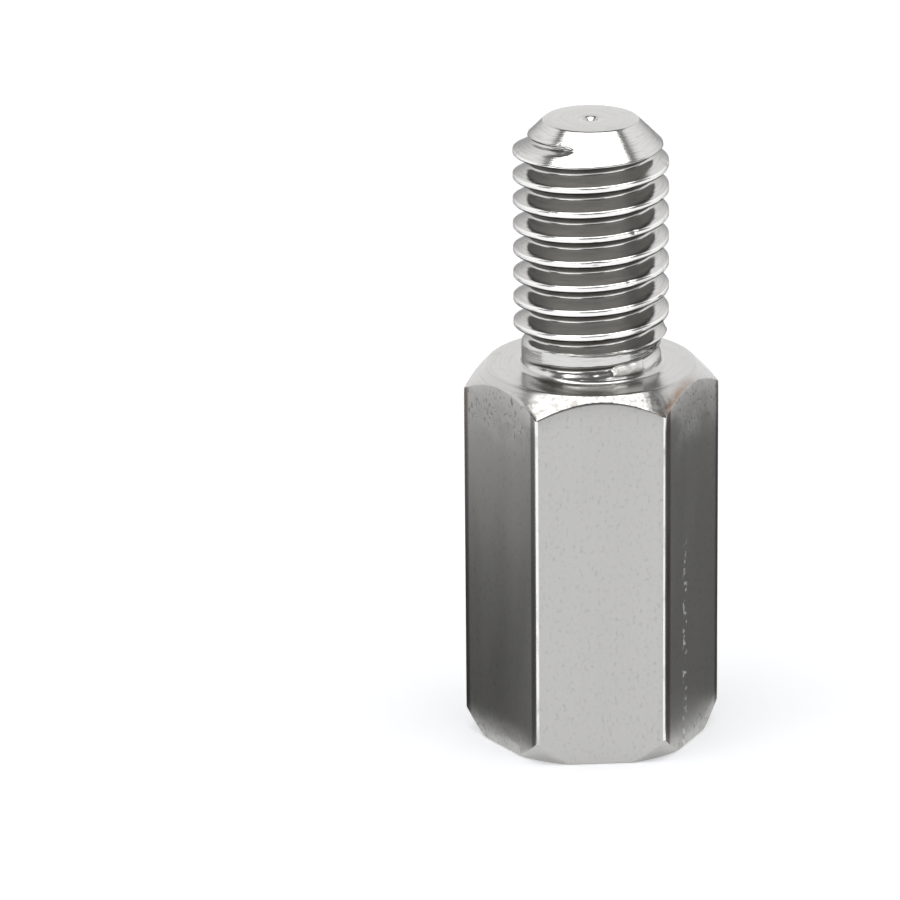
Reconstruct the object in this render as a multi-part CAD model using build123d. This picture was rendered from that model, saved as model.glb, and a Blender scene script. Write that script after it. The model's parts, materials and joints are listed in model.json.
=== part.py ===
from build123d import *
from build123d.topology import SkipClean
from math import ceil, cos, pi, radians, tan
import os

# Male-female coupling nut: a hexagon body with a tapped blind bore in its lower end and a
# threaded stud turned on its upper end, all one piece of bar. Millimetres, +Z up. The origin is
# the centre of the lower face, which the nut stands on, and a flat of the hexagon faces -Y.

# Hexagon body
SIDES = 6
ACROSS_FLATS = 7.0
BODY_LENGTH = 12.25
BASE_CHAMFER_DIAMETER = 7.2  # wider than the flats, so that only the corners are cut
BASE_CHAMFER_ANGLE = 60.0  # from the lower face
SHOULDER_CHAMFER_DIAMETER = 6.6
SHOULDER_CHAMFER_ANGLE = 45.0  # from the shoulder

# Thread, right-hand and the same on the stud and in the bore, in the metric form: the shares of
# depth are of the height that the flanks would have if they met, those of crests of the pitch
PITCH = 0.8
FLANK_ANGLE = 60.0  # between the two flanks
STUD_DEPTH_SHARE = 17 / 24
STUD_CREST_SHARE = 1 / 8
BORE_DEPTH_SHARE = 5 / 8
BORE_CREST_SHARE = 1 / 4

# Stud
STUD_LENGTH = 8.0
STUD_DIAMETER = 4.9  # over the crests
TIP_CHAMFER_WIDTH = 0.967  # measured along the radius
TIP_CHAMFER_ANGLE = 45.0  # from the tip's face
CENTRE_MARK_DIAMETER = 0.3
CENTRE_MARK_DEPTH = 0.06
NECK_RELIEF = 0.25  # how far the neck lies below the crests
NECK_LENGTH = 0.9
NECK_CORNER = 0.1  # the tool's nose leaves this at the foot of the neck
RUNOUT_GAP = 0.015  # from the shoulder to the threading tool's lowest point
RUNOUT_AZIMUTH = 228.0  # where the stud's thread ends, counter-clockwise from +X

# Bore
BORE_DIAMETER = 4.2  # over the crests of the inner thread
TAPPED_DEPTH = 7.0
TAP_AZIMUTH = 10.0  # where the inner thread ends
DRILL_RUNOUT = 1.6  # plain bore past the thread
DRILL_POINT_ANGLE = 118.0
COUNTERSINK_DIAMETER = 5.4
COUNTERSINK_ANGLE = 90.0

# How the shapes are made
SECTORS = 15  # a round face is this many equal patches
FLANK_OVERRUN = 0.03  # the thread tool's flanks go on past the crest by this
TOOL_CLEARANCE = 0.2  # and the tool itself by this

SHARP_HEIGHT = PITCH / 2 / tan(radians(FLANK_ANGLE / 2))
STUD_RADIUS = STUD_DIAMETER / 2
STUD_ROOT_RADIUS = STUD_RADIUS - SHARP_HEIGHT * STUD_DEPTH_SHARE
STUD_CREST_FLAT = PITCH * STUD_CREST_SHARE
BORE_RADIUS = BORE_DIAMETER / 2
BORE_ROOT_RADIUS = BORE_RADIUS + SHARP_HEIGHT * BORE_DEPTH_SHARE
BORE_CREST_FLAT = PITCH * BORE_CREST_SHARE


def rise(run, angle):
    """Height of a slope over a run, its angle given from the horizontal."""
    return run * tan(radians(angle))


def turned(outline):
    """Solid of revolution about Z, made of equal sectors so that its round faces are patches.

    A thread then cuts a crest into short pieces, each a plain patch of cylinder.
    """
    step = 360 / SECTORS
    sector = revolve(make_face(Plane.XZ * outline), Axis.Z, step)
    with SkipClean():
        return Part() + [Rot(0, 0, step * place) * sector for place in range(SECTORS)]


def thread_section(root_radius, crest_radius, crest_flat):
    """Section of a thread's groove: a flat root, two flanks, and straight sides past the crest."""
    outward = 1 if crest_radius > root_radius else -1
    depth = abs(crest_radius - root_radius)
    slope = tan(radians(FLANK_ANGLE / 2))
    root_half = (PITCH - crest_flat) / 2 - depth * slope
    rim_half = root_half + (depth + FLANK_OVERRUN) * slope
    rim_radius = crest_radius + outward * FLANK_OVERRUN
    clear_radius = crest_radius + outward * TOOL_CLEARANCE
    return Polyline(
        (root_radius, -root_half),
        (rim_radius, -rim_half),
        (clear_radius, -rim_half),
        (clear_radius, rim_half),
        (rim_radius, rim_half),
        (root_radius, root_half),
        close=True,
    )


def thread_turns(section, root_radius, low, turns, azimuth):
    """Right-hand helical groove, one solid for each full turn, stacked upwards from low."""
    path = Helix(PITCH, PITCH, root_radius)
    one_turn = sweep(make_face(Plane.XZ * section), path, is_frenet=True)
    return [Pos(0, 0, low + PITCH * turn) * Rot(0, 0, azimuth) * one_turn for turn in range(turns)]


def hexagon_bar():
    """Hexagon bar cut to length, its corners turned back to a cone at each end."""
    corner = ACROSS_FLATS / 2 / cos(pi / SIDES) + TOOL_CLEARANCE
    base = BASE_CHAMFER_DIAMETER / 2
    shoulder = SHOULDER_CHAMFER_DIAMETER / 2
    envelope = Polyline(
        (0, 0),
        (base, 0),
        (corner, rise(corner - base, BASE_CHAMFER_ANGLE)),
        (corner, BODY_LENGTH - rise(corner - shoulder, SHOULDER_CHAMFER_ANGLE)),
        (shoulder, BODY_LENGTH),
        (0, BODY_LENGTH),
        close=True,
    )
    bar = extrude(RegularPolygon(ACROSS_FLATS / 2, SIDES, major_radius=False), BODY_LENGTH)
    return bar & revolve(make_face(Plane.XZ * envelope), Axis.Z)


def bore():
    """The drilled hole with its countersunk mouth, as a plug to take out of the body."""
    mouth = COUNTERSINK_DIAMETER / 2
    sink_depth = (mouth - BORE_RADIUS) / tan(radians(COUNTERSINK_ANGLE / 2))
    drilled = TAPPED_DEPTH + DRILL_RUNOUT
    return turned(
        Polyline(
            (0, -TOOL_CLEARANCE),
            (mouth, -TOOL_CLEARANCE),
            (mouth, 0),
            (BORE_RADIUS, sink_depth),
            (BORE_RADIUS, drilled),
            (0, drilled),
            close=True,
        )
    )


def drill_point():
    """The cone that the drill leaves at the end of the bore."""
    height = BORE_RADIUS / tan(radians(DRILL_POINT_ANGLE / 2))
    middle = Pos(0, 0, TAPPED_DEPTH + DRILL_RUNOUT + height / 2)
    return middle * Cone(BORE_RADIUS, 0, height)


def bore_thread():
    """Grooves of the inner thread, from below the mouth up to the tapped depth."""
    section = thread_section(BORE_ROOT_RADIUS, BORE_RADIUS, BORE_CREST_FLAT)
    turns = ceil(TAPPED_DEPTH / PITCH) + 1
    return thread_turns(section, BORE_ROOT_RADIUS, TAPPED_DEPTH - turns * PITCH, turns, TAP_AZIMUTH)


def stud():
    """The stud as turned: corner at the shoulder, neck, thread's blank, and chamfered tip."""
    neck = STUD_RADIUS - NECK_RELIEF
    neck_top = BODY_LENGTH + NECK_LENGTH
    tip = STUD_RADIUS - TIP_CHAMFER_WIDTH
    tip_height = BODY_LENGTH + STUD_LENGTH
    buried = BODY_LENGTH - NECK_CORNER
    return turned(
        Polyline(
            (0, buried),
            (neck + NECK_CORNER, buried),
            (neck + NECK_CORNER, BODY_LENGTH),
            (neck, BODY_LENGTH + NECK_CORNER),
            (neck, neck_top),
            (STUD_RADIUS, neck_top + NECK_RELIEF),
            (STUD_RADIUS, tip_height - rise(TIP_CHAMFER_WIDTH, TIP_CHAMFER_ANGLE)),
            (tip, tip_height),
            (0, tip_height),
            close=True,
        )
    )


def centre_mark():
    """The small cone that the lathe's centre leaves in the face of the tip."""
    middle = Pos(0, 0, BODY_LENGTH + STUD_LENGTH - CENTRE_MARK_DEPTH / 2)
    return middle * Cone(0, CENTRE_MARK_DIAMETER / 2, CENTRE_MARK_DEPTH)


def stud_thread():
    """Grooves of the outer thread, from just above the shoulder to beyond the tip."""
    section = thread_section(STUD_ROOT_RADIUS, STUD_RADIUS, STUD_CREST_FLAT)
    half_width = (PITCH - STUD_CREST_FLAT) / 2 + rise(FLANK_OVERRUN, FLANK_ANGLE / 2)
    low = BODY_LENGTH + RUNOUT_GAP + half_width
    turns = ceil((BODY_LENGTH + STUD_LENGTH + half_width - low) / PITCH)
    return thread_turns(section, STUD_ROOT_RADIUS, low, turns, RUNOUT_AZIMUTH)


def coupling_nut():
    """The whole nut as one solid."""
    bar = hexagon_bar()
    plug = bore()
    blank = stud()
    with SkipClean():
        body = bar - plug - drill_point() - bore_thread()
        threaded_stud = blank - centre_mark() - stud_thread()
        return body + threaded_stud


os.makedirs("parts", exist_ok=True)
nut = coupling_nut()
export_step(nut, "parts/coupling_nut.step")
print("coupling_nut", round(nut.volume, 2), "mm3,", len(nut.faces()), "faces, valid", nut.is_valid)
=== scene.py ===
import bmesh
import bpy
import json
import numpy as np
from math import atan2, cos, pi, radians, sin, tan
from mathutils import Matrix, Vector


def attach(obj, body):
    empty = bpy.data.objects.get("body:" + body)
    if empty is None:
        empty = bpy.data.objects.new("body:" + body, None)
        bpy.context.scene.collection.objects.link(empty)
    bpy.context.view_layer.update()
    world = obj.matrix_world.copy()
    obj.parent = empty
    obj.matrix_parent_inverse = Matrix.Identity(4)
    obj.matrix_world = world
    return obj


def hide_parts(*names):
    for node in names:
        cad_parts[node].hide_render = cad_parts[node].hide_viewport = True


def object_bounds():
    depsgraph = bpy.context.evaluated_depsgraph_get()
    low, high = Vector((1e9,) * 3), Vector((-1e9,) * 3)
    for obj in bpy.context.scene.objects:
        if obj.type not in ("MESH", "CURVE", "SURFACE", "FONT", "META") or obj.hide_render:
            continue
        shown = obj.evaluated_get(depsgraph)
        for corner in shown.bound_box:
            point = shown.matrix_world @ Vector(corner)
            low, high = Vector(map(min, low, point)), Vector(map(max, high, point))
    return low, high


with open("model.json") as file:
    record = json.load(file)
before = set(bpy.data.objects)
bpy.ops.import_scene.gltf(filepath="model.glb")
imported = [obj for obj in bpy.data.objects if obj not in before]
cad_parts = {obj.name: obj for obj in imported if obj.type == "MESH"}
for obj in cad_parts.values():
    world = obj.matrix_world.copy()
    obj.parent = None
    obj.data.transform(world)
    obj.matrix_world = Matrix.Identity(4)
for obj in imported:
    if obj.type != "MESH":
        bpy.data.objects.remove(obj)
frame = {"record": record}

# %% [markdown]
# # A male-female coupling nut
#
# The real part is turned from one length of hexagon bar: a stud is threaded on one end, and the
# other end is drilled and tapped. This lesson dresses its CAD model, which settles the size.
# Sizes here are read from that model where it states them, and the rest are shop sizes in
# millimetres that a turner would know.
#
# The whole surface is one closed skin. Seen from its axis, the nut is a stack of rings with the
# same number of points in each, so the skin is woven row by row: from the end of the bore, down
# its thread, round the mouth, up the flats, over the shoulder and up the stud to the tip. Only
# the threads follow a helix, and Geometry Nodes make those.

MM = 0.001
cad_low, cad_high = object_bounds()
mounts = {mount["name"]: mount["dims"] for mount in frame["record"]["mounts"]}

ACROSS_FLATS = (cad_high.y - cad_low.y) / MM
TIP_HEIGHT = cad_high.z / MM
SHOULDER = 12.25
STUD_RADIUS = mounts["stud"]["r_mm"]
BORE_RADIUS = mounts["bore"]["r_mm"]
PITCH = 0.8
FLANK_SLOPE = tan(radians(30))
SHARP_HEIGHT = PITCH / 2 / FLANK_SLOPE
SIDES = 6
COLUMNS = 32 * SIDES
print(f"hexagon {ACROSS_FLATS:.2f} mm, shoulder at {SHOULDER:.2f} mm, tip at {TIP_HEIGHT:.2f} mm")

# %% [markdown]
# ## One helper for node trees
#
# Shader trees and geometry trees are built the same way: add a node, set its properties, and
# fill or link its inputs. One small function does all three, so a tree reads like a formula.
# Most steps are sums, so a name in capitals stands for the operation of a Math node.


# %% Node helper
def add(tree, kind, *values, **named):
    """A new node. Values fill its inputs in order, a name with a capital letter fills the input
    of that name, and any other name sets a property. Nodes and sockets are linked."""
    made = tree.nodes.new("ShaderNodeMath" if kind.isupper() else kind)
    if kind.isupper():
        made.operation = kind
    inputs = dict(enumerate(values))
    for name, value in named.items():
        if name[0].isupper():
            inputs[name.replace("_", " ")] = value
        else:
            setattr(made, name, value)
    for place, value in inputs.items():
        if isinstance(value, bpy.types.Node):
            value = value.outputs[0]
        if isinstance(value, bpy.types.NodeSocket):
            tree.links.new(value, made.inputs[place])
        else:
            made.inputs[place].default_value = value
    return made


# %% [markdown]
# ## The thread tree
#
# A screw thread is a groove that climbs one pitch in each turn. It could be cut with a boolean,
# but that leaves a ragged mesh. Here a long strip of grid, one pitch wide, is wound round the
# axis. Its rows run along the groove, so crests and roots stay crisp, and its lower edge meets
# the upper edge of the turn below, where the two are merged. Points past either end are pulled
# back to it, which leaves a plain ring to sew the rest of the skin to. These are the tree's
# inputs: one set of sizes makes the stud, another the bore.

# %% Thread inputs
THREAD_INPUTS = {
    "Columns": "Int",
    "Rows": "Int",
    "Turns": "Int",
    "Pitch": "Float",
    "Side": "Float",
    "Crest Radius": "Float",
    "Depth": "Float",
    "Root Flat": "Float",
    "Crest Rounding": "Float",
    "Root Rounding": "Float",
    "Neck Rounding": "Float",
    "Neck Slope": "Float",
    "Neck Filling": "Float",
    "Bottom": "Float",
    "Top": "Float",
    "First Groove": "Float",
    "First Turn": "Float",
    "Last Turn": "Float",
    "Fade Turns": "Float",
    "Entry Radius": "Float",
    "Entry Height": "Float",
    "End Radius": "Float",
    "End Height": "Float",
    "End Deepening": "Float",
    "Raggedness": "Float",
    "Nicks": "Float",
    "Burr": "Float",
    "Burr Turn": "Float",
    "Burr Height": "Float",
    "Material": "Material",
}
print(len(THREAD_INPUTS), "inputs")


# %% Strip wound on a helix
def wound_strip(tree, given):
    """The strip's grid, with the turn and the height at which each of its points lies."""
    length = add(tree, "MULTIPLY", given["Columns"], given["Turns"])
    across = add(tree, "ADD", given["Rows"], 1)
    along = add(tree, "ADD", length, 1)
    grid = add(tree, "GeometryNodeMeshGrid", given["Rows"], length, across, along)
    flat = add(tree, "ShaderNodeSeparateXYZ", add(tree, "GeometryNodeInputPosition")).outputs
    row = add(tree, "ADD", flat["X"], add(tree, "MULTIPLY", given["Rows"], 0.5))
    column = add(tree, "ROUND", add(tree, "ADD", flat["Y"], add(tree, "MULTIPLY", length, 0.5)))
    turn = add(tree, "DIVIDE", column, given["Columns"])
    climb = add(tree, "SUBTRACT", add(tree, "ADD", turn, add(tree, "DIVIDE", row, given["Rows"])), 1)
    height = add(tree, "ADD", given["Bottom"], add(tree, "MULTIPLY", climb, given["Pitch"]))
    height = add(tree, "MINIMUM", add(tree, "MAXIMUM", height, given["Bottom"]), given["Top"])
    return grid, turn, height


print(COLUMNS, "columns to a turn")


# %% [markdown]
# The groove is a flat root between two straight flanks, all with rounded corners. How deep it is
# at a point depends on how far that point is, along the axis, from the middle of the nearest
# groove. It starts and ends within part of a turn. On the stud's last millimetre the die cut a
# little deeper. In the neck, where it had only begun to bite, the groove is shallower and its
# lower side is less steep.

# %% Groove
DEEPER_FROM = 1.05
DEEPER_OVER = 0.4


def groove_depth(tree, given, turn, height, in_neck):
    """Depth of the groove below the crest. In the neck, its lower side has a slope of its own."""
    started = add(tree, "FRACT", add(tree, "SUBTRACT", turn, given["First Turn"]))
    up = add(tree, "DIVIDE", add(tree, "SUBTRACT", height, given["First Groove"]), given["Pitch"])
    groove = add(tree, "ADD", add(tree, "ROUND", add(tree, "SUBTRACT", up, started)), started)
    off_centre = add(tree, "SUBTRACT", up, groove)
    below = add(tree, "MULTIPLY", add(tree, "LESS_THAN", off_centre, 0), in_neck)
    slope = add(tree, "ShaderNodeMapRange", below, 0, 1, 1 / FLANK_SLOPE, given["Neck Slope"])
    off_centre = add(tree, "MULTIPLY", add(tree, "ABSOLUTE", off_centre), given["Pitch"])
    past_root = add(tree, "SUBTRACT", off_centre, add(tree, "MULTIPLY", given["Root Flat"], 0.5))
    flank = add(tree, "SUBTRACT", given["Depth"], add(tree, "MULTIPLY", past_root, slope))
    depth = add(tree, "SMOOTH_MIN", flank, given["Depth"], given["Root Rounding"])
    depth = add(tree, "SMOOTH_MAX", depth, 0, given["Crest Rounding"])

    left = add(tree, "SUBTRACT", given["Last Turn"], groove)
    fade = add(tree, "DIVIDE", add(tree, "MINIMUM", groove, left), given["Fade Turns"], use_clamp=True)
    to_end = add(tree, "SUBTRACT", given["End Height"], height)
    near_end = add(tree, "SUBTRACT", DEEPER_FROM * MM, to_end)
    near_end = add(tree, "DIVIDE", near_end, DEEPER_OVER * MM, use_clamp=True)
    deeper = add(tree, "ADD", add(tree, "MULTIPLY", near_end, given["End Deepening"]), 1)
    deeper = add(tree, "SUBTRACT", deeper, add(tree, "MULTIPLY", in_neck, given["Neck Filling"]))
    return add(tree, "MULTIPLY", add(tree, "MULTIPLY", depth, fade), deeper)


print(f"a sharp thread of this pitch is {SHARP_HEIGHT:.3f} mm deep")


# %% [markdown]
# The groove is cut in a turned blank: a neck at the entry, a plain cylinder and a chamfer at the
# end. The surface is the lower of the two. With the side set to -1, radii count inwards, and the
# same tree makes the bore. In the neck, the edges of the groove are rolled over more.

# %% Blank
def threaded_surface(tree, given, height, depth, in_neck):
    """Radius of the thread, as if the tool had left it clean. Inwards, it counts as negative."""
    crest = add(tree, "MULTIPLY", given["Crest Radius"], given["Side"])
    entry = add(tree, "MAXIMUM", add(tree, "SUBTRACT", height, given["Entry Height"]), 0)
    entry = add(tree, "ADD", add(tree, "MULTIPLY", given["Entry Radius"], given["Side"]), entry)
    end = add(tree, "SUBTRACT", given["End Height"], height)
    end = add(tree, "ADD", add(tree, "MULTIPLY", given["End Radius"], given["Side"]), end)
    blank = add(tree, "SMOOTH_MIN", add(tree, "MINIMUM", entry, end), crest, given["Crest Rounding"])
    edge = add(tree, "MULTIPLY", in_neck, given["Neck Rounding"])
    edge = add(tree, "ADD", edge, given["Crest Rounding"])
    return add(tree, "SMOOTH_MIN", blank, add(tree, "SUBTRACT", crest, depth), edge)


# %% [markdown]
# A real thread is not clean. The tool leaves a slight waviness, handling leaves small dents, and
# where the die stopped, it tore up a patch of metal in the neck. Noise with a real size makes
# all three, and the torn patch is also stored as an attribute, so that its finish can differ.

# %% Tool marks
WAVE_SIZE = 0.38
WAVE_TOP = 0.75
DENT_SIZE = 0.53
DENTS_ABOVE = 0.64
DENT_STEEPNESS = 8
FLAKE_SIZE = 0.19
FLAKE_BOTTOM = 0.2
FLAKE_LIFT = 0.16
BURR_HALF_TURNS = 0.045
BURR_EDGE_TURNS = 0.01
BURR_HALF_HEIGHT = 0.17
BURR_EDGE = 0.05
BURR_FILL = 0.4


def torn_patch(tree, given, turn, height, flakes):
    """From 0 to 1, where the die tore the metal. It climbs round the neck with the thread."""
    beside = add(tree, "SUBTRACT", add(tree, "FRACT", turn), given["Burr Turn"])
    climbed = add(tree, "MULTIPLY", beside, given["Pitch"])
    above = add(tree, "SUBTRACT", add(tree, "SUBTRACT", height, climbed), given["Burr Height"])
    above = add(tree, "SUBTRACT", BURR_HALF_HEIGHT * MM, add(tree, "ABSOLUTE", above))
    above = add(tree, "DIVIDE", above, BURR_EDGE * MM)
    beside = add(tree, "SUBTRACT", BURR_HALF_TURNS, add(tree, "ABSOLUTE", beside))
    beside = add(tree, "DIVIDE", beside, BURR_EDGE_TURNS)
    patch = add(tree, "MINIMUM", beside, above)
    patch = add(tree, "MULTIPLY", patch, add(tree, "ADD", flakes, BURR_FILL))
    return add(tree, "MULTIPLY", add(tree, "MAXIMUM", patch, 0, use_clamp=True), given["Burr"])


def tool_marks(tree, given, turn, height, surface):
    """The surface with waves, dents and the torn patch, and the patch itself."""
    angle = add(tree, "MULTIPLY", turn, 2 * pi)
    across = add(tree, "MULTIPLY", add(tree, "COSINE", angle), given["Crest Radius"])
    along = add(tree, "MULTIPLY", add(tree, "SINE", angle), given["Crest Radius"])
    spot = add(tree, "ShaderNodeCombineXYZ", across, along, height)
    noise = []
    for size, detail in ((WAVE_SIZE, 3.0), (DENT_SIZE, 2.0), (FLAKE_SIZE, 3.0)):
        made = add(tree, "ShaderNodeTexNoise", Vector=spot, Scale=1 / (size * MM), Detail=detail)
        noise.append(made.outputs["Fac"])
    waves, dents, flakes = noise
    waves = add(tree, "SUBTRACT", waves, WAVE_TOP)
    dents = add(tree, "SUBTRACT", dents, DENTS_ABOVE)
    dents = add(tree, "MULTIPLY", dents, DENT_STEEPNESS, use_clamp=True)
    surface = add(tree, "ADD", surface, add(tree, "MULTIPLY", waves, given["Raggedness"]))
    surface = add(tree, "SUBTRACT", surface, add(tree, "MULTIPLY", dents, given["Nicks"]))
    patch = torn_patch(tree, given, turn, height, flakes)
    lift = add(tree, "MULTIPLY", add(tree, "SUBTRACT", flakes, FLAKE_BOTTOM), FLAKE_LIFT * MM)
    lifted = add(tree, "SUBTRACT", add(tree, "ADD", given["Entry Radius"], lift), surface)
    return add(tree, "ADD", surface, add(tree, "MULTIPLY", lifted, patch)), patch


print(f"waves of {WAVE_SIZE} mm, dents of {DENT_SIZE} mm and flakes of {FLAKE_SIZE} mm")


# %% [markdown]
# The tree puts these together. It ends in Realize Instances and Set Material, as an export needs,
# and its result is read back as a plain mesh, so that no modifier is left on the nut. The values
# of the neck take over a little below its top.

# %% Thread tree
NECK_BLEND = 0.1
MERGE_WITHIN = 0.002


def thread_tree():
    """Geometry Nodes for one threaded wall, an open tube between two plain rings. In metres."""
    tree = bpy.data.node_groups.new("thread_wall", "GeometryNodeTree")
    for name, kind in THREAD_INPUTS.items():
        tree.interface.new_socket(name, in_out="INPUT", socket_type="NodeSocket" + kind)
    tree.interface.new_socket("Geometry", in_out="OUTPUT", socket_type="NodeSocketGeometry")
    given = tree.nodes.new("NodeGroupInput").outputs
    grid, turn, height = wound_strip(tree, given)
    in_neck = add(tree, "SUBTRACT", given["Entry Height"], height)
    in_neck = add(tree, "DIVIDE", in_neck, NECK_BLEND * MM, use_clamp=True)
    depth = groove_depth(tree, given, turn, height, in_neck)
    surface = threaded_surface(tree, given, height, depth, in_neck)
    surface, patch = tool_marks(tree, given, turn, height, surface)

    radius = add(tree, "MULTIPLY", surface, given["Side"])
    angle = add(tree, "MULTIPLY", turn, 2 * pi)
    across = add(tree, "MULTIPLY", radius, add(tree, "COSINE", angle))
    along = add(tree, "MULTIPLY", radius, add(tree, "SINE", angle))
    wound = add(tree, "ShaderNodeCombineXYZ", across, along, height)
    marked = add(tree, "GeometryNodeStoreNamedAttribute", grid, Name="torn", Value=patch)
    tube = add(tree, "GeometryNodeSetPosition", marked, Position=wound)
    sewn = add(tree, "GeometryNodeMergeByDistance", tube, Distance=MERGE_WITHIN * MM)
    real = add(tree, "GeometryNodeRealizeInstances", sewn)
    add(tree, "NodeGroupOutput", add(tree, "GeometryNodeSetMaterial", real, Material=given["Material"]))
    return tree


def thread_wall(name, tree, material, sizes):
    """The tree's tube for one set of sizes, as a plain mesh."""
    carrier = bpy.data.objects.new(name, bpy.data.meshes.new(name))
    bpy.context.scene.collection.objects.link(carrier)
    modifier = carrier.modifiers.new("thread", "NODES")
    modifier.node_group = tree
    sockets = {item.name: item.identifier for item in tree.interface.items_tree}
    for key, value in sizes.items():
        modifier[sockets[key]] = value
    modifier[sockets["Material"]] = material
    evaluated = carrier.evaluated_get(bpy.context.evaluated_depsgraph_get())
    mesh = bpy.data.meshes.new_from_object(evaluated)
    bpy.data.objects.remove(carrier)
    print(f"{name}: {len(mesh.polygons)} faces")
    return mesh


winding = thread_tree()
print("thread tree:", len(winding.nodes), "nodes")


# %% [markdown]
# ## Finishes
#
# The bar is stainless steel of the free-cutting kind, an alloy with a faintly warm grey. Each
# face keeps the marks of what made it: the flats are as the mill drew them, dull and finely
# pitted, the shoulder and the chamfers are turned bright, and the threads are cut. Colours are
# sRGB hex values as a colour chart gives them, and one function turns them to the linear values
# that Blender works with. Two more take up what every finish repeats: laying colours over each
# other, and adding up what makes a face rougher or smoother.

# %% Colours
STEEL = "c1c0bd"
DARK_STEEL = "85837e"
BRIGHT_STEEL = "d6d5d2"
WORN_STEEL = "f4f3f0"
# Painted shade on the lower thread flanks, and the grey of pits on the flats.
SHADE_AND_PIT_GREY = "7c7a75"
TORN_STEEL = "fbf9f4"
# Painted brown shade beside corners of the flats.
DARK_BROWN_SHADE = "4f3b2b"
# Painted grey-brown shade on the chamfer beside the right flat.
GREY_BROWN_SHADE = "8a6e58"
# Painted shade: the black line under the crests, and the line beside the left flat's front corner.
BLACK_SHADE = "2e2d2b"
SMOOTH = {"interpolation_type": "SMOOTHSTEP"}


def linear(hex_colour):
    """An sRGB hex value such as b8b7b3 as linear red, green, blue and alpha."""
    channels = [int(hex_colour[at:at + 2], 16) / 255 for at in (0, 2, 4)]
    return [c / 12.92 if c <= 0.04045 else ((c + 0.055) / 1.055) ** 2.4 for c in channels] + [1]


def layered(tree, colour, *layers):
    """The colour with others laid over it, each a share from 0 to 1 and a hex value."""
    for share, over in layers:
        colour = add(tree, "ShaderNodeMixRGB", share, colour, linear(over))
    return colour


def weighted(tree, total, *terms):
    """The total with more added to it, each a value and its weight."""
    for value, weight in terms:
        total = add(tree, "ADD", total, add(tree, "MULTIPLY", value, weight))
    return total


def grain(tree, place, size, stretch=(1, 1, 1), detail=2.0):
    """Noise about 0.5 with features of a size in millimetres, drawn out along each axis."""
    scale = [1 / (size * MM * share) for share in stretch]
    scaled = add(tree, "ShaderNodeMapping", place, Scale=scale)
    return add(tree, "ShaderNodeTexNoise", Vector=scaled, Scale=1.0, Detail=detail).outputs["Fac"]


def new_finish(name):
    """A material with an empty tree, and the place on the nut that its marks are read from."""
    material = bpy.data.materials.new(name)
    material.use_nodes = True
    tree = material.node_tree
    tree.nodes.clear()
    return material, tree, add(tree, "ShaderNodeTexCoord").outputs["Object"]


print("steel in linear colour", [round(channel, 3) for channel in linear(STEEL)[:3]])


# %% [markdown]
# Some marks belong to one place on the flats. Painted brown shade darkens the right flat beside
# its front corner and the two outermost corners, painted dark shade runs in a line down the left
# flat beside its front corner, and rollers have left a row of small chips on the right one. Towards
# both ends the side flats are rougher. Each mark is a share from 0 to 1, worked out from the place
# alone, so that it stays put at any resolution.

# %% Marks on the flats
FRONT = -ACROSS_FLATS / 2
# Where the lines of painted shade run, beside the two front corners.
CORNER_SHADE_AT = 2.12
RIGHT_SHADE_HALF_WIDTH = 0.13
LEFT_SHADE_HALF_WIDTH = 0.08
LEFT_SHADE_STRENGTH = 0.6
OUTER_FROM, OUTER_TO = 3.89, 3.96
OUTER_STRENGTH = 0.7
CHIPS_AT = 2.77
CHIPS_HALF_WIDTH = 0.12
CHIPS_FROM, CHIPS_TO = 7.5, 6.0
CHIP_SIZE = 0.2
CHIP_STRENGTH = 0.7
SIDE_FROM, SIDE_TO = 2.15, 2.5
LOW_FROM, LOW_TO = 1.2, 0.5
HIGH_FROM, HIGH_TO = 9.8, 11.2
PATCH_SIZE = 0.7


def upright_strip(tree, parts, middle, half_width, core):
    """From 0 to 1, in a strip up the bar that is full in its core and fades to its edges."""
    off = add(tree, "ABSOLUTE", add(tree, "SUBTRACT", parts["X"], middle * MM))
    return add(tree, "ShaderNodeMapRange", off, half_width * MM, core * MM, **SMOOTH)


def off_front(tree, parts):
    """From 0 on the front flat to 1 behind it."""
    near, far = (FRONT + 0.04) * MM, (FRONT + 0.10) * MM
    return add(tree, "ShaderNodeMapRange", parts["Y"], near, far, **SMOOTH)


def right_corner_shade(tree, parts, broad):
    """From 0 to 1, in a strip on the right flat beside its front corner, where brown shade is painted.
    """
    strip = upright_strip(tree, parts, CORNER_SHADE_AT, RIGHT_SHADE_HALF_WIDTH, 0.05)
    strip = add(tree, "MULTIPLY", strip, off_front(tree, parts))
    strength = add(tree, "ShaderNodeMapRange", broad, 0.35, 0.6, 0.45, 0.95)
    return add(tree, "MULTIPLY", strip, strength)


def left_corner_shade(tree, parts):
    """From 0 to 1, in a thin line of painted shade on the left flat beside its front corner."""
    line = upright_strip(tree, parts, -CORNER_SHADE_AT, LEFT_SHADE_HALF_WIDTH, 0.03)
    line = add(tree, "MULTIPLY", line, off_front(tree, parts))
    return add(tree, "MULTIPLY", line, LEFT_SHADE_STRENGTH)


def outer_corner_shade(tree, parts):
    """From 0 to 1, on the two corners that are farthest out, where brown shade is painted."""
    out = add(tree, "ABSOLUTE", parts["X"])
    ends = (OUTER_FROM * MM, OUTER_TO * MM, 0, OUTER_STRENGTH)
    return add(tree, "ShaderNodeMapRange", out, *ends, **SMOOTH)


def small_chips(tree, parts, place):
    """From 0 to 1, on chips in a row up the right flat."""
    strip = upright_strip(tree, parts, CHIPS_AT, CHIPS_HALF_WIDTH, 0.04)
    low = add(tree, "ShaderNodeMapRange", parts["Z"], CHIPS_FROM * MM, CHIPS_TO * MM, **SMOOTH)
    chips = grain(tree, place, CHIP_SIZE)
    chips = add(tree, "ShaderNodeMapRange", chips, 0.55, 0.65, 0, CHIP_STRENGTH, **SMOOTH)
    return add(tree, "MULTIPLY", add(tree, "MULTIPLY", strip, low), chips)


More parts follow.
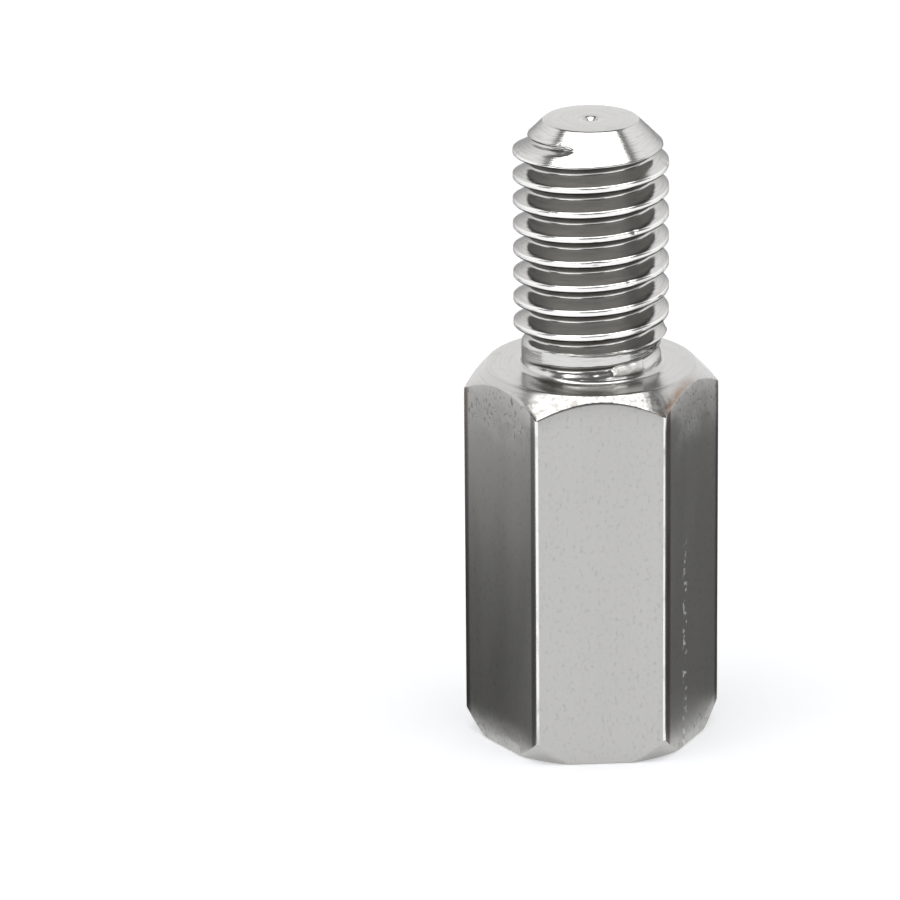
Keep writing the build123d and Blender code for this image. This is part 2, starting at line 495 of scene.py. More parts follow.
def rough_ends(tree, parts, place):
    """From 0 to 1, in patches towards the ends of the side flats, where the bar was gripped."""
    side = add(tree, "ABSOLUTE", parts["X"])
    side = add(tree, "ShaderNodeMapRange", side, SIDE_FROM * MM, SIDE_TO * MM, **SMOOTH)
    low = add(tree, "ShaderNodeMapRange", parts["Z"], LOW_FROM * MM, LOW_TO * MM, **SMOOTH)
    high = add(tree, "ShaderNodeMapRange", parts["Z"], HIGH_FROM * MM, HIGH_TO * MM, **SMOOTH)
    ends = add(tree, "MULTIPLY", add(tree, "MAXIMUM", low, high), side)
    patches = add(tree, "ShaderNodeMapRange", grain(tree, place, PATCH_SIZE), 0.3, 0.55, **SMOOTH)
    return add(tree, "MULTIPLY", ends, patches)


# The strip of painted brown shade lies at this distance to the right of the axis.
print(f"stain {CORNER_SHADE_AT} mm and chips {CHIPS_AT} mm to the right of the axis")


# %% [markdown]
# Drawn stainless is pulled through a die at the mill. The eye sees a soft, even grey with fine
# pits, a trace of streaks along the bar, and corners that handling has polished bright. The same
# noise sets the colour and the bump, so that a pit is both darker and deeper than the face.

# %% Drawn flats
STREAK_WIDTH = 0.16
PIT_SIZE = 0.11
BROAD_SIZE = 1.1
WEAR_SIZE = 0.4
DULLING = 0.3
PIT_DEPTH = 0.12
STREAK_DEPTH = 0.03
DRAWN_ROUGHNESS = 0.25
DRAWN_RELIEF = 0.006


def drawn_stainless():
    """Mill finish: soft and even, finely pitted, with corners that are worn bright."""
    material, tree, place = new_finish("drawn_stainless")
    parts = add(tree, "ShaderNodeSeparateXYZ", place).outputs
    streaks = grain(tree, place, STREAK_WIDTH, (1, 1, 40), 3.0)
    broad = grain(tree, place, BROAD_SIZE, (1, 1, 5))
    pits = grain(tree, place, PIT_SIZE, (1, 1, 1.5), 3.0)
    pits = add(tree, "ShaderNodeMapRange", pits, 0.52, 0.78, **SMOOTH)
    ends = rough_ends(tree, parts, place)
    chips = small_chips(tree, parts, place)
    corner = add(tree, "ShaderNodeAttribute", attribute_name="worn").outputs["Fac"]
    patchy = grain(tree, place, WEAR_SIZE, (1, 1, 3))
    patchy = add(tree, "ShaderNodeMapRange", patchy, 0.25, 0.5, **SMOOTH)
    worn = add(tree, "MULTIPLY", corner, patchy)

    dull = add(tree, "MULTIPLY", weighted(tree, pits, (streaks, 0.25)), DULLING)
    spots = add(tree, "MULTIPLY", add(tree, "MULTIPLY", pits, ends), 0.9)
    colour = layered(
        tree,
        linear(STEEL),
        (dull, DARK_STEEL),
        (spots, SHADE_AND_PIT_GREY),
        # Painted brown shade beside the right flat's front corner.
        (right_corner_shade(tree, parts, broad), DARK_BROWN_SHADE),
        (worn, WORN_STEEL),
        # Painted brown shade on the two outermost corners.
        (outer_corner_shade(tree, parts), DARK_BROWN_SHADE),
        # Painted shade in a thin line beside the left flat's front corner.
        (left_corner_shade(tree, parts), BLACK_SHADE),
        (chips, WORN_STEEL),
    )
    terms = (broad, 0.12), (chips, 0.4), (worn, -0.12), (ends, 0.15)
    deep = weighted(tree, PIT_DEPTH, (ends, 1.4))
    height = add(tree, "MULTIPLY", streaks, STREAK_DEPTH)
    height = add(tree, "SUBTRACT", height, add(tree, "MULTIPLY", pits, deep))
    bump = add(tree, "ShaderNodeBump", Height=height, Strength=1.0, Distance=DRAWN_RELIEF * MM)
    shader = add(
        tree,
        "ShaderNodeBsdfPrincipled",
        Base_Color=colour,
        Metallic=1.0,
        Roughness=weighted(tree, DRAWN_ROUGHNESS, *terms),
        Normal=bump,
    )
    add(tree, "ShaderNodeOutputMaterial", shader)
    return material


drawn = drawn_stainless()
print("drawn_stainless:", len(drawn.node_tree.nodes), "nodes")


# %% [markdown]
# Turned stainless is faced and chamfered on the lathe. The eye sees a bright surface with very
# fine rings, each a turn of the tool, and a few duller blotches. The rings are noise that is
# stretched round the axis, so it is read from the distance, the angle and the height. In front,
# handling has mottled the upper chamfer, and beside the right flat the chamfer has painted
# grey-brown shade.

# %% Marks on the chamfer
# How far out from the axis the chamfer's painted shade lies, and how strong it is.
SHADE_INNER, SHADE_OUTER = 3.24, 3.46
SHADE_STRENGTH = 0.75
LEFT_FROM, LEFT_TO = -2.3, -1.8
RIGHT_FROM, RIGHT_TO = 0.8, -0.8
MOTTLE_FROM, MOTTLE_TO = -2.7, -3.1
MOTTLE_STRENGTH = 0.85


def right_chamfer_shade(tree, place):
    """From 0 to 1, on the chamfer where it meets the right flat, beside the front corner, where
    grey-brown shade is painted.
    """
    parts = add(tree, "ShaderNodeSeparateXYZ", place).outputs
    out = add(tree, "MULTIPLY", parts["X"], cos(pi / SIDES))
    out = add(tree, "SUBTRACT", out, add(tree, "MULTIPLY", parts["Y"], sin(pi / SIDES)))
    along = add(tree, "MULTIPLY", parts["X"], sin(pi / SIDES))
    along = add(tree, "ADD", along, add(tree, "MULTIPLY", parts["Y"], cos(pi / SIDES)))
    reach = (SHADE_INNER * MM, SHADE_OUTER * MM, 0, SHADE_STRENGTH)
    edge = add(tree, "ShaderNodeMapRange", out, *reach, **SMOOTH)
    left = add(tree, "ShaderNodeMapRange", along, LEFT_FROM * MM, LEFT_TO * MM, **SMOOTH)
    right = add(tree, "ShaderNodeMapRange", along, RIGHT_FROM * MM, RIGHT_TO * MM, **SMOOTH)
    return add(tree, "MULTIPLY", add(tree, "MULTIPLY", left, right), edge)


def mottle(tree, place, spots, tilt):
    """From 0 to 1, in spots on the chamfer where it faces the front."""
    sloped = add(tree, "ShaderNodeMapRange", tilt, 0.9, 0.8, **SMOOTH)
    front = add(tree, "ShaderNodeSeparateXYZ", place).outputs["Y"]
    front = add(tree, "ShaderNodeMapRange", front, MOTTLE_FROM * MM, MOTTLE_TO * MM, **SMOOTH)
    spots = add(tree, "ShaderNodeMapRange", spots, 0.42, 0.66, 0, MOTTLE_STRENGTH, **SMOOTH)
    return add(tree, "MULTIPLY", add(tree, "MULTIPLY", spots, sloped), front)


# The chamfer's painted grey-brown shade lies between these distances from the axis.
print(f"oil dried on the chamfer from {SHADE_INNER} to {SHADE_OUTER} mm out")


# %% [markdown]
# The turned finish itself has the rings and blotches everywhere, and the two marks only where
# the surface looks up, which its normal tells. Near the base, that leaves the chamfer clean.

# %% Turned ends
FEED = 0.035
FEED_STRETCH = 0.03
BLOTCH_SIZE = 0.5
SPOT_SIZE = 0.16
TURNED_ROUGHNESS = 0.13
TURNED_RELIEF = 0.0012


def around_axis(tree, place):
    """Distance from the axis, angle round it and height, for marks that a lathe leaves."""
    parts = add(tree, "ShaderNodeSeparateXYZ", place).outputs
    squares = add(tree, "ADD", add(tree, "POWER", parts["X"], 2), add(tree, "POWER", parts["Y"], 2))
    return add(tree, "SQRT", squares), add(tree, "ARCTAN2", parts["Y"], parts["X"]), parts["Z"]


def turned_stainless():
    """Faced and chamfered on the lathe: bright, with fine rings round the axis."""
    material, tree, place = new_finish("turned_stainless")
    reach, angle, height = around_axis(tree, place)
    round_it = add(tree, "MULTIPLY", angle, FEED_STRETCH * MM)
    feed = grain(tree, add(tree, "ShaderNodeCombineXYZ", reach, round_it, height), FEED)
    blotch = grain(tree, place, BLOTCH_SIZE, (1, 1, 1), 3.0)
    lines = add(tree, "ShaderNodeMapRange", feed, 0.4, 0.8, 0, 0.2, **SMOOTH)
    blotches = add(tree, "ShaderNodeMapRange", blotch, 0.55, 0.75, 0, 0.14, **SMOOTH)

    spots = grain(tree, place, SPOT_SIZE, (1, 1, 1), 3.0)
    tilt = add(tree, "ShaderNodeSeparateXYZ", add(tree, "ShaderNodeNewGeometry").outputs["Normal"])
    tilt = tilt.outputs["Z"]
    upward = add(tree, "ShaderNodeMapRange", tilt, 0.2, 0.4)
    mottled = add(tree, "MULTIPLY", mottle(tree, place, spots, tilt), upward)
    # Painted grey-brown shade on the chamfer beside the right flat.
    brown_shade = add(tree, "MULTIPLY", right_chamfer_shade(tree, place), add(tree, "ADD", spots, 0.35))
    brown_shade = add(tree, "MULTIPLY", brown_shade, upward)
    colour = layered(
        tree,
        linear(STEEL),
        (add(tree, "ADD", lines, blotches), DARK_STEEL),
        (mottled, DARK_STEEL),
        (brown_shade, GREY_BROWN_SHADE),
    )
    bump = add(tree, "ShaderNodeBump", Height=feed, Strength=1.0, Distance=TURNED_RELIEF * MM)
    shader = add(
        tree,
        "ShaderNodeBsdfPrincipled",
        Base_Color=colour,
        Metallic=1.0,
        Roughness=weighted(tree, TURNED_ROUGHNESS, (blotch, 0.14)),
        Normal=bump,
    )
    add(tree, "ShaderNodeOutputMaterial", shader)
    return material


turned = turned_stainless()
print("turned_stainless:", len(turned.node_tree.nodes), "nodes")


# %% [markdown]
# Cut stainless is what a die leaves. The eye sees polished crests, bright upper flanks and marks
# that follow the helix. Painted shade darkens the lower flanks and makes a black line under each
# crest. The lower flanks are told by the surface's own normal, which points down on them, and the
# crests by their distance from the axis.

# %% Cut threads
CREST_FROM, CREST_TO = 2.40, 2.43
UNDER_FROM, UNDER_TO = 2.26, 2.38
MARK_SIZE = 0.045
MARK_STRETCH = 0.12
SHADE = 0.85
CUT_ROUGHNESS = 0.12
CUT_RELIEF = 0.003
TORN_RELIEF = 0.012
EDGE_TINT = (0.4, 0.4, 0.4, 1)


def cut_stainless():
    """Cut with a die: bright on the upper flanks, with painted shade on the lower ones and under the
    crests, torn in the neck.
    """
    material, tree, place = new_finish("cut_stainless")
    reach, angle, height = around_axis(tree, place)
    climb = add(tree, "SUBTRACT", height, add(tree, "MULTIPLY", angle, PITCH * MM / (2 * pi)))
    round_it = add(tree, "MULTIPLY", angle, MARK_STRETCH * MM)
    marks = grain(tree, add(tree, "ShaderNodeCombineXYZ", reach, round_it, climb), MARK_SIZE)
    lines = add(tree, "ShaderNodeMapRange", marks, 0.4, 0.8, 0, 0.25, **SMOOTH)

    normal = add(tree, "ShaderNodeSeparateXYZ", add(tree, "ShaderNodeNewGeometry").outputs["Normal"])
    down = add(tree, "MULTIPLY", normal.outputs["Z"], -1)
    # Down-facing flanks: they get painted shade and a rougher finish.
    lower_flank = add(tree, "ShaderNodeMapRange", down, 0.1, 0.6, **SMOOTH)
    under = add(tree, "ShaderNodeMapRange", reach, UNDER_FROM * MM, UNDER_TO * MM, **SMOOTH)
    outside = add(tree, "ShaderNodeMapRange", reach, CREST_FROM * MM, CREST_TO * MM, **SMOOTH)
    facing = add(tree, "ShaderNodeMapRange", down, 0.6, 0.3, **SMOOTH)
    torn = add(tree, "ShaderNodeAttribute", attribute_name="torn").outputs["Fac"]
    colour = layered(
        tree,
        linear(BRIGHT_STEEL),
        (lines, DARK_STEEL),
        # Painted shade: the down-facing flanks are darkened.
        (add(tree, "MULTIPLY", lower_flank, SHADE), SHADE_AND_PIT_GREY),
        # Painted shade: a black line under each crest.
        (add(tree, "MULTIPLY", under, lower_flank), BLACK_SHADE),
        (add(tree, "MULTIPLY", outside, facing), WORN_STEEL),
        (torn, TORN_STEEL),
    )
    relief = add(tree, "ShaderNodeMapRange", torn, 0, 1, CUT_RELIEF * MM, TORN_RELIEF * MM)
    bump = add(tree, "ShaderNodeBump", Height=marks, Strength=1.0, Distance=relief)
    shader = add(
        tree,
        "ShaderNodeBsdfPrincipled",
        Base_Color=colour,
        Metallic=1.0,
        Roughness=weighted(tree, CUT_ROUGHNESS, (lower_flank, 0.25), (torn, 0.3), (marks, 0.08)),
        Normal=bump,
        Specular_Tint=EDGE_TINT,
    )
    add(tree, "ShaderNodeOutputMaterial", shader)
    return material


cut = cut_stainless()
print("cut_stainless:", len(cut.node_tree.nodes), "nodes")

# %% [markdown]
# ## The stud's thread
#
# The thread is metric: its groove is 17/24 of the sharp height deep. Wear has widened the crests
# a little, so the root is drawn narrower than new. The groove starts in the neck, and ends on the
# chamfer of the tip.

# %% Stud thread
NECK_CORNER = 0.10
STUD_BOTTOM = SHOULDER + NECK_CORNER
STUD_TOP = TIP_HEIGHT - 0.03
TIP_RADIUS = 1.483
NECK_RADIUS = 2.2
NECK_TOP = SHOULDER + 0.9
GROOVE_START = 12.375
START_AZIMUTH = 150.0
BURR_AZIMUTH = 299.0
BURR_HEIGHT = 12.63

stud_sizes = {
    "Columns": COLUMNS,
    "Rows": 24,
    "Turns": 12,
    "Pitch": PITCH * MM,
    "Side": 1.0,
    "Crest Radius": STUD_RADIUS * MM,
    "Depth": SHARP_HEIGHT * 17 / 24 * MM,
    "Root Flat": 0.09 * MM,
    "Crest Rounding": 0.015 * MM,
    "Root Rounding": 0.08 * MM,
    "Neck Rounding": 0.05 * MM,
    "Neck Slope": 1.0,
    "Neck Filling": 0.2,
    "Bottom": STUD_BOTTOM * MM,
    "Top": STUD_TOP * MM,
    "First Groove": GROOVE_START * MM,
    "First Turn": START_AZIMUTH / 360,
    "Last Turn": 9.445,
    "Fade Turns": 0.2,
    "Entry Radius": NECK_RADIUS * MM,
    "Entry Height": NECK_TOP * MM,
    "End Radius": TIP_RADIUS * MM,
    "End Height": TIP_HEIGHT * MM,
    "End Deepening": 0.22,
    "Raggedness": 0.006 * MM,
    "Nicks": 0.035 * MM,
    "Burr": 1.0,
    "Burr Turn": BURR_AZIMUTH / 360,
    "Burr Height": BURR_HEIGHT * MM,
}
stud_mesh = thread_wall("stud_wall", winding, cut, stud_sizes)

# %% [markdown]
# ## The bore's thread
#
# Inside, the crests are a quarter of the pitch wide and the groove is 5/8 of the sharp height
# deep. The tap went in at the countersunk mouth and stopped short of the drilled depth, so this
# groove fades out at its upper end.

# %% Bore thread
MOUTH_RADIUS = 2.7
TAPPED_DEPTH = 7.0
DRILLED_DEPTH = 8.6
BORE_BOTTOM = 0.03
BORE_TOP = TAPPED_DEPTH + 0.8
TAP_TURNS = 10
TAP_AZIMUTH = 10.0

bore_sizes = {
    "Columns": COLUMNS,
    "Rows": 12,
    "Turns": 12,
    "Pitch": PITCH * MM,
    "Side": -1.0,
    "Crest Radius": BORE_RADIUS * MM,
    "Depth": SHARP_HEIGHT * 5 / 8 * MM,
    "Root Flat": PITCH / 8 * MM,
    "Crest Rounding": 0.045 * MM,
    "Root Rounding": 0.05 * MM,
    "Neck Rounding": 0.0,
    "Neck Slope": 1.0,
    "Neck Filling": 0.0,
    "Bottom": BORE_BOTTOM * MM,
    "Top": BORE_TOP * MM,
    "First Groove": (TAPPED_DEPTH - TAP_TURNS * PITCH) * MM,
    "First Turn": TAP_AZIMUTH / 360,
    "Last Turn": float(TAP_TURNS),
    "Fade Turns": 0.3,
    "Entry Radius": MOUTH_RADIUS * MM,
    "Entry Height": 0.0,
    "End Radius": 0.0,
    "End Height": 1.0,
    "End Deepening": 0.0,
    "Raggedness": 0.004 * MM,
    "Nicks": 0.02 * MM,
    "Burr": 0.0,
    "Burr Turn": 0.0,
    "Burr Height": 0.0,
}
bore_mesh = thread_wall("bore_wall", winding, cut, bore_sizes)

# %% [markdown]
# ## The section of the bar
#
# Hexagon bar has slightly rounded corners. Its ring starts on the corner at +X and goes round
# with the same number of points as a thread's ring, close together on the corners and evenly
# spaced on the flats. A point just inside each corner keeps the flat's shading flat.

# %% Section
CORNER_ROUND = 0.09
CORNER_MARGIN = 0.02
ARC_STEPS = 3
FLAT_STEPS = COLUMNS // SIDES - 2 * ARC_STEPS


def corner_point(azimuth, direction):
    """A point on a corner's arc, where the surface faces a direction. Both in radians."""
    reach = (ACROSS_FLATS / 2 - CORNER_ROUND) / cos(pi / SIDES)
    x = reach * cos(azimuth) + CORNER_ROUND * cos(direction)
    y = reach * sin(azimuth) + CORNER_ROUND * sin(direction)
    return x, y


def flat_points(normal):
    """Points along one flat, whose normal is given in radians."""
    half = (ACROSS_FLATS / 2 - CORNER_ROUND) * tan(pi / SIDES) - CORNER_MARGIN
    points = []
    for place in np.linspace(-half, half, FLAT_STEPS - 1):
        x = ACROSS_FLATS / 2 * cos(normal) - place * sin(normal)
        y = ACROSS_FLATS / 2 * sin(normal) + place * cos(normal)
        points.append((x, y))
    return points


def hexagon_ring():
    """Points round the bar's section, counter-clockwise from the corner at +X."""
    points = []
    half_turn = pi / SIDES
    for side in range(SIDES):
        corner = 2 * half_turn * side
        for step in range(ARC_STEPS + 1):
            points.append(corner_point(corner, corner + half_turn * step / ARC_STEPS))
        points += flat_points(corner + half_turn)
        corner = 2 * half_turn * (side + 1)
        for step in range(ARC_STEPS, 0, -1):
            points.append(corner_point(corner, corner - half_turn * step / ARC_STEPS))
    return np.array(points)


section = hexagon_ring()
section_radius = np.hypot(section[:, 0], section[:, 1])
outward = section / section_radius[:, None]
azimuths = 2 * pi * np.arange(COLUMNS) / COLUMNS
round_way = np.column_stack([np.cos(azimuths), np.sin(azimuths)])
print(f"{len(section)} points round the bar, corners at {section_radius.max():.3f} mm")


# %% [markdown]
# ## Rings and rounded edges
#
# No machined edge is perfectly sharp, and it is the thin highlight along a rounded one that
# tells the eye it is metal. Each edge of the body is one ring of corner points. A short curve
# replaces it, and plain rings fill the surface between two edges.

# %% Ring helpers
LONGEST_SHARE = 0.45
SAME_HEIGHT = 0.01
SEAM = 1e-4


def ring(radius, height, way):
    """One ring in millimetres: radius and height may differ from point to point."""
    radius = np.broadcast_to(radius, COLUMNS)
    return np.column_stack([way * radius[:, None], np.broadcast_to(height, COLUMNS)])


def rounded(before, corner, after, size, steps=3):
    """Rings that turn a sharp corner ring into a round one."""
    to_before = before - corner
    to_after = after - corner
    before_length = np.linalg.norm(to_before, axis=1)[:, None]
    after_length = np.linalg.norm(to_after, axis=1)[:, None]
    reach = np.minimum(size, LONGEST_SHARE * np.minimum(before_length, after_length))
    start = corner + to_before / before_length * reach
    end = corner + to_after / after_length * reach
    shares = np.linspace(0, 1, steps)
    return [(1 - s) ** 2 * start + 2 * s * (1 - s) * corner + s ** 2 * end for s in shares]


def between(first, last, count):
    """Rings evenly spaced between two, without them."""
    return [first + (last - first) * step / (count + 1) for step in range(1, count + 1)]


def boundary_ring(mesh, height):
    """The mesh's open ring at a height, in millimetres and in order round the axis."""
    shape = bmesh.new()
    shape.from_mesh(mesh)
    points = []
    for vertex in shape.verts:
        on_edge = any(edge.is_boundary for edge in vertex.link_edges)
        if on_edge and abs(vertex.co.z / MM - height) < SAME_HEIGHT:
            points.append(vertex.co / MM)
    shape.free()
    points.sort(key=lambda point: atan2(point.y, point.x) % (2 * pi - SEAM))
    return np.array([tuple(point) for point in points])


mouth = boundary_ring(bore_mesh, BORE_BOTTOM)
bore_end = boundary_ring(bore_mesh, BORE_TOP)
neck = boundary_ring(stud_mesh, STUD_BOTTOM)
stud_end = boundary_ring(stud_mesh, STUD_TOP)
print("points in the four open rings:", len(mouth), len(bore_end), len(neck), len(stud_end))

# %% [markdown]
# ## The body's rows
#
# At both ends the corners of the bar are turned back to a cone. The cone's edge on each flat is
# an arc, and it comes by itself: for each point round the bar, the height where the flat ends is
# worked out from how far that point is from the axis.

# %% Body rows
BASE_CONE_RADIUS = 3.6
BASE_CONE_SLOPE = tan(radians(60))
SHOULDER_CONE_RADIUS = 3.3
EDGE_BREAK = 0.05
EDGE_ROUND = 0.04
ROWS_BETWEEN = [0, 6, 3, 20, 4, 10]

base_cut = np.maximum((section_radius - BASE_CONE_RADIUS) * BASE_CONE_SLOPE, EDGE_BREAK)
base_edge = np.minimum(BASE_CONE_RADIUS, section_radius - EDGE_BREAK)
shoulder_cut = section_radius - SHOULDER_CONE_RADIUS
edges = [
    mouth,
    ring(MOUTH_RADIUS, 0.0, round_way),
    ring(base_edge, 0.0, outward),
    ring(section_radius, base_cut, outward),
    ring(section_radius, SHOULDER - shoulder_cut, outward),
    ring(SHOULDER_CONE_RADIUS, SHOULDER, outward),
    ring(NECK_RADIUS + NECK_CORNER, SHOULDER, round_way),
    neck,
]
body_rows = [mouth]
for place, rows_before in enumerate(ROWS_BETWEEN, start=1):
    edge = rounded(edges[place - 1], edges[place], edges[place + 1], EDGE_ROUND)
    body_rows += between(body_rows[-1], edge[0], rows_before) + edge
body_rows += [neck]
print(len(body_rows), "rows on the body")

# %% [markdown]
# ## The two ends
#
# The tip is faced flat, and the lathe's centre left a small cone in its middle. Its profile lists
# radii and how far each lies below the face. The bore ends in the cone that a drill's point
# leaves, 118 degrees wide.

# %% End rows
MARK_RADIUS = 0.25
MARK_DEPTH = 0.22
TIP_PROFILE = [
    (TIP_RADIUS - 0.01, 0.004),
    (TIP_RADIUS - 0.04, 0.0),
    (1.0, 0.0),
    (0.5, 0.0),
    (MARK_RADIUS + 0.03, 0.0),
    (MARK_RADIUS, 0.012),
    (MARK_RADIUS - 0.03, 0.04),
    (0.06, MARK_DEPTH - 0.04),
    (0.02, MARK_DEPTH - 0.01),
]
DRILL_POINT = 118
DRILL_SLOPE = 1 / tan(radians(DRILL_POINT / 2))

tip_rows = [stud_end]
for radius, sunk in TIP_PROFILE:
    tip_rows.append(ring(radius, TIP_HEIGHT - sunk, round_way))
bore_end_rows = [bore_end]
for radius in (BORE_RADIUS, 1.0, 0.03):
    cone_height = DRILLED_DEPTH + (BORE_RADIUS - radius) * DRILL_SLOPE
    bore_end_rows.append(ring(radius, cone_height, round_way))
print(len(tip_rows), "rows on the tip,", len(bore_end_rows), "at the end of the bore")

# %% [markdown]
# ## Sewing the skin
#
# Each run of rings becomes a sheet of four-sided faces, and a fan of triangles closes its last
# ring. The sheets share their end rings with the two threads, so merging doubled points sews
# everything into one closed skin. A count of open edges proves it.

# %% Skin
CUT, DRAWN, TURNED = range(3)


def sew_rows(shape, rows, closed_height=None):
    """Adds a run of rings to the mesh, closed at its last ring if a height is given."""
    made = [[shape.verts.new(point * MM) for point in row] for row in rows]
    for lower, upper in zip(made, made[1:]):
        for column in range(COLUMNS):
            beside = (column + 1) % COLUMNS
            face = shape.faces.new((lower[column], lower[beside], upper[beside], upper[column]))
            face.material_index = TURNED
    if closed_height is not None:
        pole = shape.verts.new((0, 0, closed_height * MM))
        for column in range(COLUMNS):
            face = shape.faces.new((made[-1][column], made[-1][(column + 1) % COLUMNS], pole))
            face.material_index = TURNED


def nut_skin():
    """All parts of the skin sewn into one closed mesh."""
    shape = bmesh.new()
    shape.from_mesh(stud_mesh)
    shape.from_mesh(bore_mesh)
    for face in shape.faces:
        face.material_index = CUT
    sew_rows(shape, body_rows)
    sew_rows(shape, tip_rows, TIP_HEIGHT - MARK_DEPTH)
    sew_rows(shape, bore_end_rows, DRILLED_DEPTH + BORE_RADIUS * DRILL_SLOPE)
    bmesh.ops.remove_doubles(shape, verts=shape.verts, dist=0.001 * MM)
    bmesh.ops.recalc_face_normals(shape, faces=shape.faces)
    open_edges = [edge for edge in shape.edges if not edge.is_manifold]
    print(f"skin: {len(shape.faces)} faces, {len(open_edges)} open edges")
    mesh = bpy.data.meshes.new("coupling_nut_skin")
    shape.to_mesh(mesh)
    shape.free()
    return mesh


skin = nut_skin()

# %% [markdown]
# ## Finishes on the skin
#
# The upright faces outside the thread are the drawn flats. Wear shows only on their corners, so
# the distance from the axis tells how worn a point is, and that is stored as an attribute for
# the material to read. The finished skin then stands for the CAD solid.

# %% Dressing
FLATS_FROM = 3.4
UPRIGHT = 0.2
WORN_FROM = 4.007
WORN_OVER = 0.006

for material in (cut, drawn, turned):
    skin.materials.append(material)
for polygon in skin.polygons:
    polygon.use_smooth = True
    outside = polygon.center.xy.length > FLATS_FROM * MM
    if outside and abs(polygon.normal.z) < UPRIGHT:
        polygon.material_index = DRAWN
worn = skin.attributes.new("worn", "FLOAT", "POINT")
for vertex in skin.vertices:
    share = (vertex.co.xy.length / MM - WORN_FROM) / WORN_OVER
    worn.data[vertex.index].value = min(max(share, 0.0), 1.0)
nut = bpy.data.objects.new("coupling_nut_skin", skin)
bpy.context.scene.collection.objects.link(nut)
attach(nut, "root")
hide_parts("coupling_nut")
print("finishes", [material.name for material in skin.materials])

# %% [markdown]
# ## The floor
#
# The nut stands on plain white paper. The paper takes the nut's soft shadow, and a part of its
# white is only for the camera and for reflections, so that it can be white without more light
# on the metal. That part grows towards the back, where the lamps reach less.

# %% Floor
NEAR_GLOW = 0.31
FAR_GLOW = 0.49
NEAR_EDGE = -25
FAR_EDGE = 75
PAPER_SIZE = 800
PAPER_WHITE = "e2e3e5"


def stage_sheet(name, corners, height, hex_colour):
    """A flat sheet of the stage, in millimetres, with a matt material to finish elsewhere."""
    mesh = bpy.data.meshes.new(name)
    points = [(x * MM, y * MM, height * MM) for x, y in corners]
    mesh.from_pydata(points, [], [tuple(range(len(corners)))])
    piece = bpy.data.objects.new(name, mesh)
    bpy.context.scene.collection.objects.link(piece)
    material = bpy.data.materials.new(name + "_matt")
    material.use_nodes = True
    shader = material.node_tree.nodes["Principled BSDF"]
    shader.inputs["Base Color"].default_value = linear(hex_colour)
    shader.inputs["Roughness"].default_value = 1.0
    shader.inputs["Specular IOR Level"].default_value = 0.0
    shader.inputs["Emission Color"].default_value = (1, 1, 1, 1)
    mesh.materials.append(material)
    return piece, material.node_tree, shader


def floor():
    """White paper, a little brighter towards the back."""
    half = PAPER_SIZE / 2
    corners = [(-half, -half), (half, -half), (half, half), (-half, half)]
    piece, tree, shader = stage_sheet("white_paper", corners, 0, PAPER_WHITE)
    rays = add(tree, "ShaderNodeLightPath").outputs
    seen = add(tree, "MAXIMUM", rays["Is Camera Ray"], rays["Is Glossy Ray"])
    seen = add(tree, "MAXIMUM", seen, rays["Is Transmission Ray"])
    place = add(tree, "ShaderNodeSeparateXYZ", add(tree, "ShaderNodeTexCoord").outputs["Object"])
    back = place.outputs["Y"]
    glow = add(tree, "ShaderNodeMapRange", back, NEAR_EDGE * MM, FAR_EDGE * MM, NEAR_GLOW, FAR_GLOW)
    glow = add(tree, "MULTIPLY", glow, seen)
    tree.links.new(glow.outputs[0], shader.inputs["Emission Strength"])


floor()
print("paper", PAPER_SIZE, "mm square")


# %% [markdown]
# ## The room
#
# Polished metal shows its surroundings, so they matter as much as the lamps. Behind the nut and
# low down is a bright backdrop, which the shoulder and the tip reflect. The rest of the room is
# dim, which gives the chamfers and the neck their dark lines.

# %% World
ROOM_LEVEL = 0.15
ROOM_WHITE = "fdfdff"
BACKDROP_LEVEL = 1.12
BACKDROP_TOP = 0.74
TOP_SOFTNESS = 0.03
BACKDROP_SIDE = 0.01
SIDE_SOFTNESS = 0.05


def studio_world():
    """A dim room with a bright backdrop low down behind the nut. Direction alone sets it."""
    world = bpy.data.worlds.new("studio")
    bpy.context.scene.world = world
    world.use_nodes = True
    tree = world.node_tree
    tree.nodes.clear()
    way = add(tree, "ShaderNodeSeparateXYZ", add(tree, "ShaderNodeTexCoord").outputs["Generated"])
    top = (BACKDROP_TOP + TOP_SOFTNESS, BACKDROP_TOP - TOP_SOFTNESS)
    low = add(tree, "ShaderNodeMapRange", way.outputs["Z"], *top, **SMOOTH)
    side = (BACKDROP_SIDE - SIDE_SOFTNESS, BACKDROP_SIDE + SIDE_SOFTNESS)
    behind = add(tree, "ShaderNodeMapRange", way.outputs["Y"], *side, **SMOOTH)
    backdrop = add(tree, "MULTIPLY", low, behind)
    level = add(tree, "ShaderNodeMapRange", backdrop, 0, 1, ROOM_LEVEL, BACKDROP_LEVEL)
    background = add(tree, "ShaderNodeBackground", Color=linear(ROOM_WHITE), Strength=level)
    add(tree, "ShaderNodeOutputWorld", background)


studio_world()
print("room level", ROOM_LEVEL, "backdrop level", BACKDROP_LEVEL)


# %% [markdown]
# ## Softboxes
#
# Three large lamps light the nut softly. A lamp's strength is worked out from the level that its
# face should show in the metal, whatever its size. The overhead one makes the white panel on the
# chamfers, and its tilt sets where that panel begins and ends.

# %% Softboxes
AIM_HEIGHT = 12


